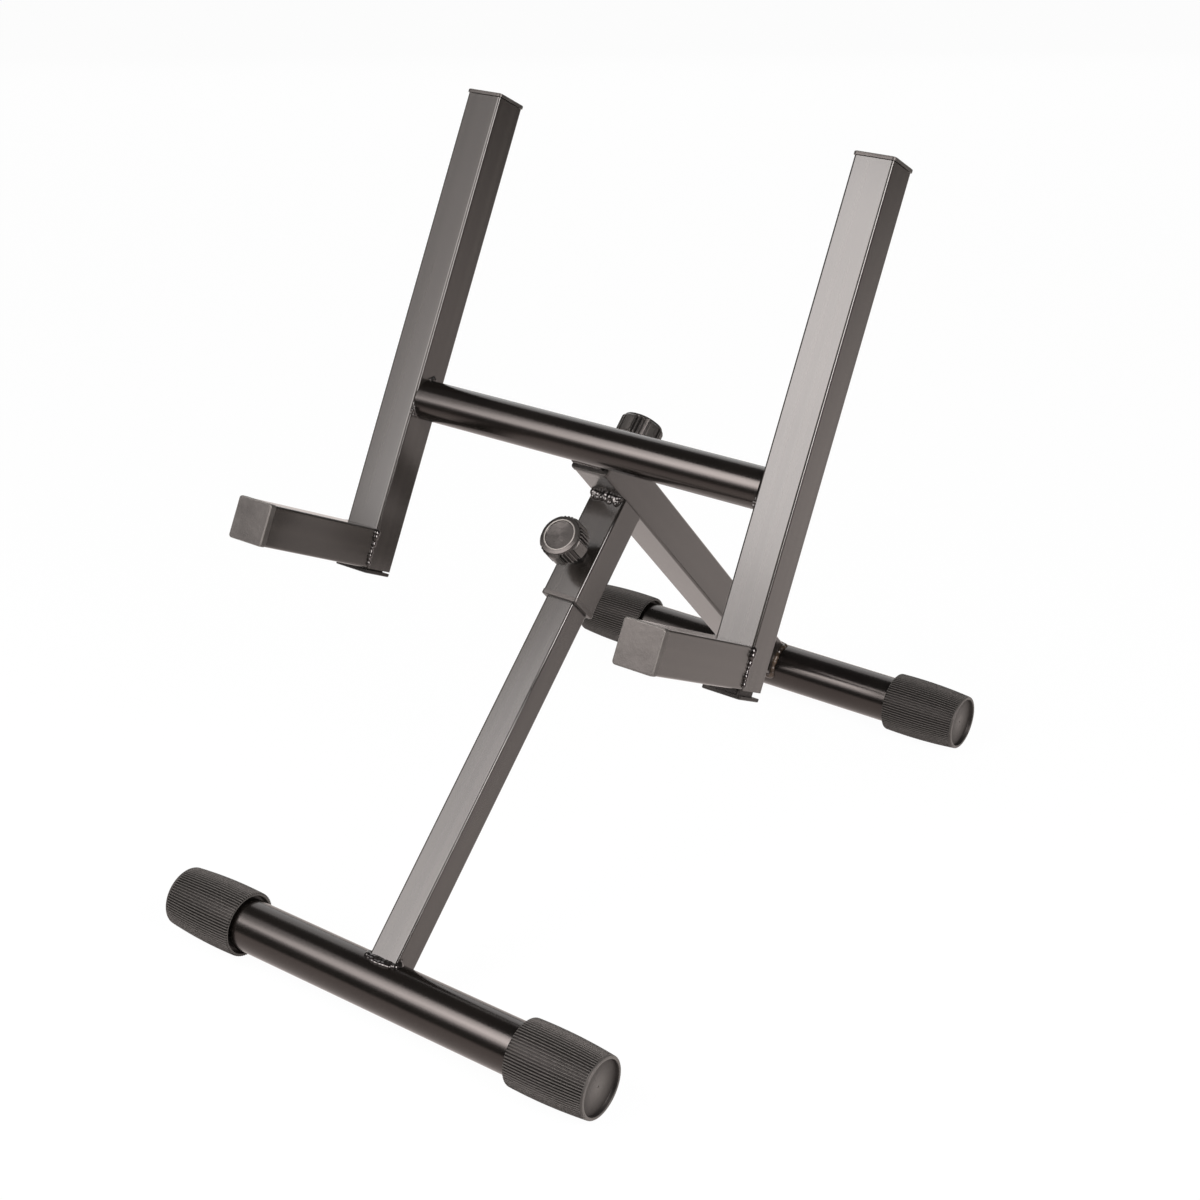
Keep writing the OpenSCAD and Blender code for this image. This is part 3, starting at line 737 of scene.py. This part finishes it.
# Clamp knobs. A moulded plastic knob on a zinc-plated M8 screw runs in a nut welded to the tube and
# bears on the sliding tube inside. Five wide grips alternate with recesses of three narrow ribs.
KNOB_R = 16.9 * MM
KNOB_DISC_R = 15.1 * MM
KNOB_H = 16.8 * MM
KNOB_HUB_R = 9 * MM
KNOB_EDGE = 0.6 * MM
LIP_R = 11.7 * MM
LIP_ROUND = 0.55 * MM
FACE_RINGS = 12
RING_H = 0.05 * MM
FACE_DEPTH = 1 * MM
FACE_DISH = 0.3 * MM
GRIPS = 5
GRIP_DEPTH = 2 * MM
RECESS_SHARE = 0.56
RECESS_SLOPE = 0.12
GRIP_RIBS = 3
GRIP_RIB_H = 0.85
# Mask levels on a knob: the grips painted lighter than their recesses, painted light and shade, and the tone of
# the rest.
GRIP_PAINTED_LIGHT = 0.17
FACE_TONE = 0.08
KNOB_STEPS = 720
SCREW_R = 4 * MM
joint_point = {j["name"]: Vector(j.get("pos_m", (0, 0, 0))) for j in frame["joints"]}
# Its third tone paints the lip's highlight and the lighter grips.
knob_plastic = moulded_plastic("black_plastic_knob", 0.004, 0.007, 0.2, 0.24)


def knob_outline(hub):
    """Half section as (radius, z): hub of that height, side, sloping shoulder, round lip, turned face."""
    top = hub + KNOB_H
    points = [(0, 0.8 * MM), (SCREW_R + 1.5 * MM, 0.8 * MM), (SCREW_R + 2.5 * MM, 0)]
    points += [(KNOB_HUB_R - 0.5 * MM, 0), (KNOB_HUB_R, 0.5 * MM), (KNOB_HUB_R, hub)]
    points.append((KNOB_R - KNOB_EDGE, hub))
    points += [(KNOB_R, hub + KNOB_EDGE + (KNOB_H - 5 * MM) * i / 6) for i in range(7)]
    points += [(KNOB_R - 0.25 * MM, top - 3.7 * MM), (KNOB_R - 0.9 * MM, top - 3 * MM)]
    points += [(KNOB_DISC_R, top - 2.6 * MM), (KNOB_DISC_R, top - 1.8 * MM)]
    points.append((KNOB_DISC_R - 0.3 * MM, top - 1.2 * MM))
    points += arc_points(LIP_R, top - LIP_ROUND, LIP_ROUND, 100, -90, 10)
    dish = LIP_R - LIP_ROUND - 0.4 * MM
    points.append((dish, top - FACE_DEPTH))
    count = FACE_RINGS * 3
    for i in range(1, count + 1):
        ring = RING_H * math.cos(math.tau * i / 3) if i < count else 0
        inward = i / count
        sunk = FACE_DEPTH + FACE_DISH * (1 - (1 - inward) ** 2)
        points.append((dish * (1 - inward), top - sunk + ring))
    return points


def grip_cut(angle):
    """Depth cut into a knob's side at an angle: none on the wide grips, ribs left in each recess."""
    place = (angle * GRIPS / math.tau + 0.5) % 1 - 0.5
    across = abs(place) / (RECESS_SHARE / 2)
    if across >= 1:
        return GRIP_DEPTH * max(0, 1 + RECESS_SLOPE - across) / RECESS_SLOPE
    ridge = math.cos(across * math.pi * (GRIP_RIBS + 1))
    return GRIP_DEPTH * (1 - GRIP_RIB_H * min(1, max(0, 1.5 * ridge)))


def joint_place(joint):
    """Place of a joint, its Z along the joint's axis."""
    return standing(joint_point[joint], joint_axis[joint])


def span_on_joint(node, joint):
    """Lowest and highest place of a CAD node along a joint's axis."""
    along = [(v.co - joint_point[joint]).dot(joint_axis[joint]) for v in frame["nodes"][node].data.vertices]
    return min(along), max(along)


def knob(name, node, joint, body, grip_turn, hub):
    """Knob turned from its outline, its grips cut, its lip painted light as a highlight and its grips painted
    lighter than their recesses, which are painted shade.
    """
    bm = bmesh.new()
    lathe(bm, knob_outline(hub), KNOB_STEPS)
    wear_and_painted_light = bm.verts.layers.float.new("wear_and_painted_light")
    for v in bm.verts:
        r = math.hypot(v.co.x, v.co.y)
        on_lip = abs(r - LIP_R) < LIP_ROUND and v.co.z > hub + KNOB_H - LIP_ROUND
        # The lip is painted at full light: a painted highlight.
        v[wear_and_painted_light] = 1 if on_lip else FACE_TONE
        if v.co.z < hub or r < KNOB_DISC_R + 0.05 * MM:
            continue
        cut = grip_cut(math.atan2(v.co.y, v.co.x) - math.radians(grip_turn))
        # Grips are painted lighter and their deeper cuts darker: painted light and shade.
        v[wear_and_painted_light] = GRIP_PAINTED_LIGHT * (1 - cut / GRIP_DEPTH)
        reduced = min(1, (KNOB_R - cut) / r)
        v.co.x *= reduced
        v.co.y *= reduced
    base = span_on_joint(node, joint)[0]
    bmesh.ops.transform(bm, matrix=joint_place(joint) @ Matrix.Translation((0, 0, base)), verts=bm.verts[:])
    return finish_piece(bm, name, knob_plastic, body, [node], 40, weighted=False)


# Turn of the grips in degrees and height of the hub, as each knob stands in the photograph.
knob("front_clamp_knob", "front_knob", "front_knob_turn", "front_handwheel", 24, 4 * MM)
knob("rear_clamp_knob", "rear_knob", "rear_knob_turn", "rear_handwheel", 9, 2 * MM)

PITCH = 1.25 * MM
THREAD_DEPTH = 0.55 * MM
THREAD_STEPS = 24
SCREW_POINT_R = 3 * MM


def zinc_plate():
    """Bright zinc on steel, slightly clouded."""
    material, tree, surface, add = shader("zinc_plate", 0.28, 0.5)
    surface.inputs["Metallic"].default_value = 1.0
    place = add("ShaderNodeTexCoord").outputs["Object"]
    cloud = add("ShaderNodeTexNoise", Scale=300.0, Detail=4.0, Roughness=0.6)
    tree.links.new(place, cloud.inputs["Vector"])
    tint = ramp(add, tree, cloud.outputs["Fac"], [(0.3, grey(0.42)), (0.7, grey(0.62))])
    tree.links.new(tint, surface.inputs["Base Color"])
    return material


zinc = zinc_plate()


def clamp_screw(name, node, joint, body):
    """Threaded stud: a ridge profile turned and stepped along into a true helix, on a core."""
    low, high = span_on_joint(node, joint)
    bm = bmesh.new()
    core = SCREW_R - THREAD_DEPTH
    lathe(bm, [(0, low), (SCREW_POINT_R, low), (core, low + 1 * MM), (core, high), (0, high)], 32)
    turns = int((high - low - 3 * MM) / PITCH)
    z = low + 1.5 * MM
    ridge = [(core - 0.05 * MM, z), (SCREW_R - 0.02 * MM, z + 0.42 * PITCH),
             (SCREW_R - 0.02 * MM, z + 0.54 * PITCH), (core - 0.05 * MM, z + 0.96 * PITCH)]
    verts = [bm.verts.new((r, 0, h)) for r, h in ridge]
    face = bm.faces.new(verts)
    bmesh.ops.spin(bm, geom=[face], cent=ORIGIN, axis=(0, 0, 1), dvec=(0, 0, PITCH / THREAD_STEPS),
                   angle=math.tau * turns, steps=THREAD_STEPS * turns)
    bmesh.ops.transform(bm, matrix=joint_place(joint), verts=bm.verts[:])
    return finish_piece(bm, name, zinc, body, [node], 30, weighted=False)


clamp_screw("front_threaded_stud", "front_screw", "front_knob_turn", "front_stud")
clamp_screw("rear_threaded_stud", "rear_screw", "rear_knob_turn", "rear_stud")

NUT_R = 7 * MM
NUT_H = 7 * MM
NUT_EDGE = 0.5 * MM


def weld_nut(name, node, joint):
    """Hexagonal weld nut with softened corners, coated black with the tube."""
    bm = bmesh.new()
    ring = bmesh.ops.create_circle(bm, segments=6, radius=NUT_R, cap_ends=True)["verts"]
    extrude_faces(bm, ring[0].link_faces[:], NUT_H)
    bmesh.ops.translate(bm, verts=bm.verts[:], vec=(0, 0, span_on_joint(node, joint)[0]))
    bmesh.ops.recalc_face_normals(bm, faces=bm.faces[:])
    bmesh.ops.bevel(bm, geom=bm.edges[:], offset=NUT_EDGE, offset_type="OFFSET", segments=2,
                    profile=0.5, affect="EDGES", material=-1, clamp_overlap=True)
    bmesh.ops.transform(bm, matrix=joint_place(joint), verts=bm.verts[:])
    return finish_piece(bm, name, black_weld, "rear_frame", [node], 30)


weld_nut("main_tube_nut", "main_weld_nut", "rear_knob_turn")
weld_nut("sleeve_nut", "sleeve_weld_nut", "front_knob_turn")

# Floor and studio. A white floor in a dim room. One large soft box stands at the front left, a tall
# narrow box at the right draws the thin bright lines on the tubes' corners, and a pale wall behind
# shows in the top edges of the bars.
FLOOR_SIZE = 24
FLOOR_SEEN = 0.97
ROOM_GLOW = 0.07


def studio_floor():
    """White floor that keeps a faint shadow and shows white to the camera and in the gloss near by."""
    material, tree, surface, add = shader("white_floor", 0.9, 0.1)
    surface.inputs["Base Color"].default_value = (0.85, 0.85, 0.85, 1)
    rays = add("ShaderNodeLightPath")
    place = add("ShaderNodeTexCoord").outputs["Object"]
    distance = add("ShaderNodeVectorMath", operation="LENGTH")
    tree.links.new(place, distance.inputs[0])
    near = add("ShaderNodeMapRange", **{"From Min": 0.8, "From Max": 2.2, "To Min": 1.0, "To Max": 0.12})
    tree.links.new(distance.outputs["Value"], near.inputs["Value"])
    mirrored = add("ShaderNodeMath", operation="MULTIPLY")
    tree.links.new(rays.outputs["Is Glossy Ray"], mirrored.inputs[0])
    tree.links.new(near.outputs["Result"], mirrored.inputs[1])
    strength = add("ShaderNodeMath", operation="ADD")
    tree.links.new(rays.outputs["Is Camera Ray"], strength.inputs[0])
    tree.links.new(mirrored.outputs[0], strength.inputs[1])
    cast = add("ShaderNodeMix", data_type="RGBA")
    cast.inputs[6].default_value = (1, 0.9, 0.86, 1)
    cast.inputs[7].default_value = (1, 1, 1, 1)
    tree.links.new(rays.outputs["Is Camera Ray"], cast.inputs[0])
    glow = add("ShaderNodeEmission")
    tree.links.new(cast.outputs[2], glow.inputs["Color"])
    tree.links.new(strength.outputs[0], glow.inputs["Strength"])
    seen = add("ShaderNodeMath", operation="MULTIPLY_ADD")
    seen.inputs[1].default_value = FLOOR_SEEN
    tree.links.new(rays.outputs["Is Camera Ray"], seen.inputs[0])
    tree.links.new(rays.outputs["Is Glossy Ray"], seen.inputs[2])
    mix = add("ShaderNodeMixShader")
    tree.links.new(seen.outputs[0], mix.inputs[0])
    tree.links.new(surface.outputs[0], mix.inputs[1])
    tree.links.new(glow.outputs[0], mix.inputs[2])
    tree.links.new(mix.outputs[0], tree.nodes["Material Output"].inputs["Surface"])
    return material


bm = bmesh.new()
bmesh.ops.create_grid(bm, x_segments=1, y_segments=1, size=FLOOR_SIZE / 2)
floor_mesh = bpy.data.meshes.new("studio_floor")
bm.to_mesh(floor_mesh)
bm.free()
floor_mesh.materials.append(studio_floor())
floor = bpy.data.objects.new("studio_floor", floor_mesh)
bpy.context.scene.collection.objects.link(floor)

world = bpy.data.worlds.new("studio")
bpy.context.scene.world = world
world.use_nodes = True
sky = world.node_tree
back = sky.nodes["Background"]
rays = sky.nodes.new("ShaderNodeLightPath")
lift = sky.nodes.new("ShaderNodeMapRange")
lift.inputs["To Min"].default_value = ROOM_GLOW
lift.inputs["To Max"].default_value = 1.0
sky.links.new(rays.outputs["Is Camera Ray"], lift.inputs["Value"])
sky.links.new(lift.outputs["Result"], back.inputs["Strength"])
back.inputs["Color"].default_value = (1, 1, 1, 1)


def soft_box(name, place, aim, width, height, power):
    """Rectangular studio light at place, turned to aim."""
    light = bpy.data.lights.new(name, "AREA")
    light.shape = "RECTANGLE"
    light.size = width
    light.size_y = height
    light.energy = power
    lamp = bpy.data.objects.new(name, light)
    lamp.location = place
    lamp.visible_camera = False
    lamp.rotation_euler = (Vector(aim) - Vector(place)).to_track_quat("-Z", "Y").to_euler()
    bpy.context.scene.collection.objects.link(lamp)


KEY_AIM = Vector((0.05, -0.05, 0.35))
KEY_PLACE = Vector((-0.5, -1.05, 1.27))
# The front box is bright in its core and weaker towards its edge. Each layer is given by its share
# of the way out from the stand, how far it is lowered, its width, height and power.
KEY_LAYERS = (("core", 0.96, 0, 0.5, 0.6, 4.2), ("middle", 0.98, 0.04, 1, 1, 16),
              ("edge", 1, 0.16, 1.75, 1.2, 9))
for label, share, lower, width, height, power in KEY_LAYERS:
    place = KEY_AIM.lerp(KEY_PLACE, share) - Vector((0, 0, lower))
    soft_box(f"key_box_{label}", place, KEY_AIM, width, height, power)
soft_box("right_box", place=(1.35, -0.35, 1.05), aim=(0, 0, 0.35), width=0.6, height=1.1, power=34)
soft_box("back_wall", place=(-1.2, 1.9, 0.95), aim=(-0.1, 0, 0.4), width=3, height=1.7, power=20)

# Camera. It stands where the photograph was taken from, worked out from the stand's main edges, with
# the same lens and the picture's true centre.
CAMERA_PLACE = (0.78142, -1.06254, 0.93206)
CAMERA_YAW = math.radians(35.87)
CAMERA_PITCH = math.radians(-27.69)
CAMERA_ROLL = math.radians(-1.86)
IMAGE = 1200
FOCAL_PX = 2038.04
CENTRE_PX = (602.42, 559.52)
lens = bpy.data.cameras.new("camera")
lens.sensor_width = 36
lens.lens = FOCAL_PX / IMAGE * lens.sensor_width
lens.shift_x = (IMAGE / 2 - CENTRE_PX[0]) / IMAGE
lens.shift_y = -(IMAGE / 2 - CENTRE_PX[1]) / IMAGE
camera = bpy.data.objects.new("camera", lens)
camera.matrix_world = (Matrix.Translation(CAMERA_PLACE) @ Matrix.Rotation(CAMERA_YAW, 4, "Z")
                       @ Matrix.Rotation(math.pi / 2 + CAMERA_PITCH, 4, "X")
                       @ Matrix.Rotation(CAMERA_ROLL, 4, "Z"))
bpy.context.scene.collection.objects.link(camera)
bpy.context.scene.camera = camera
bpy.context.scene.view_settings.view_transform = "Standard"
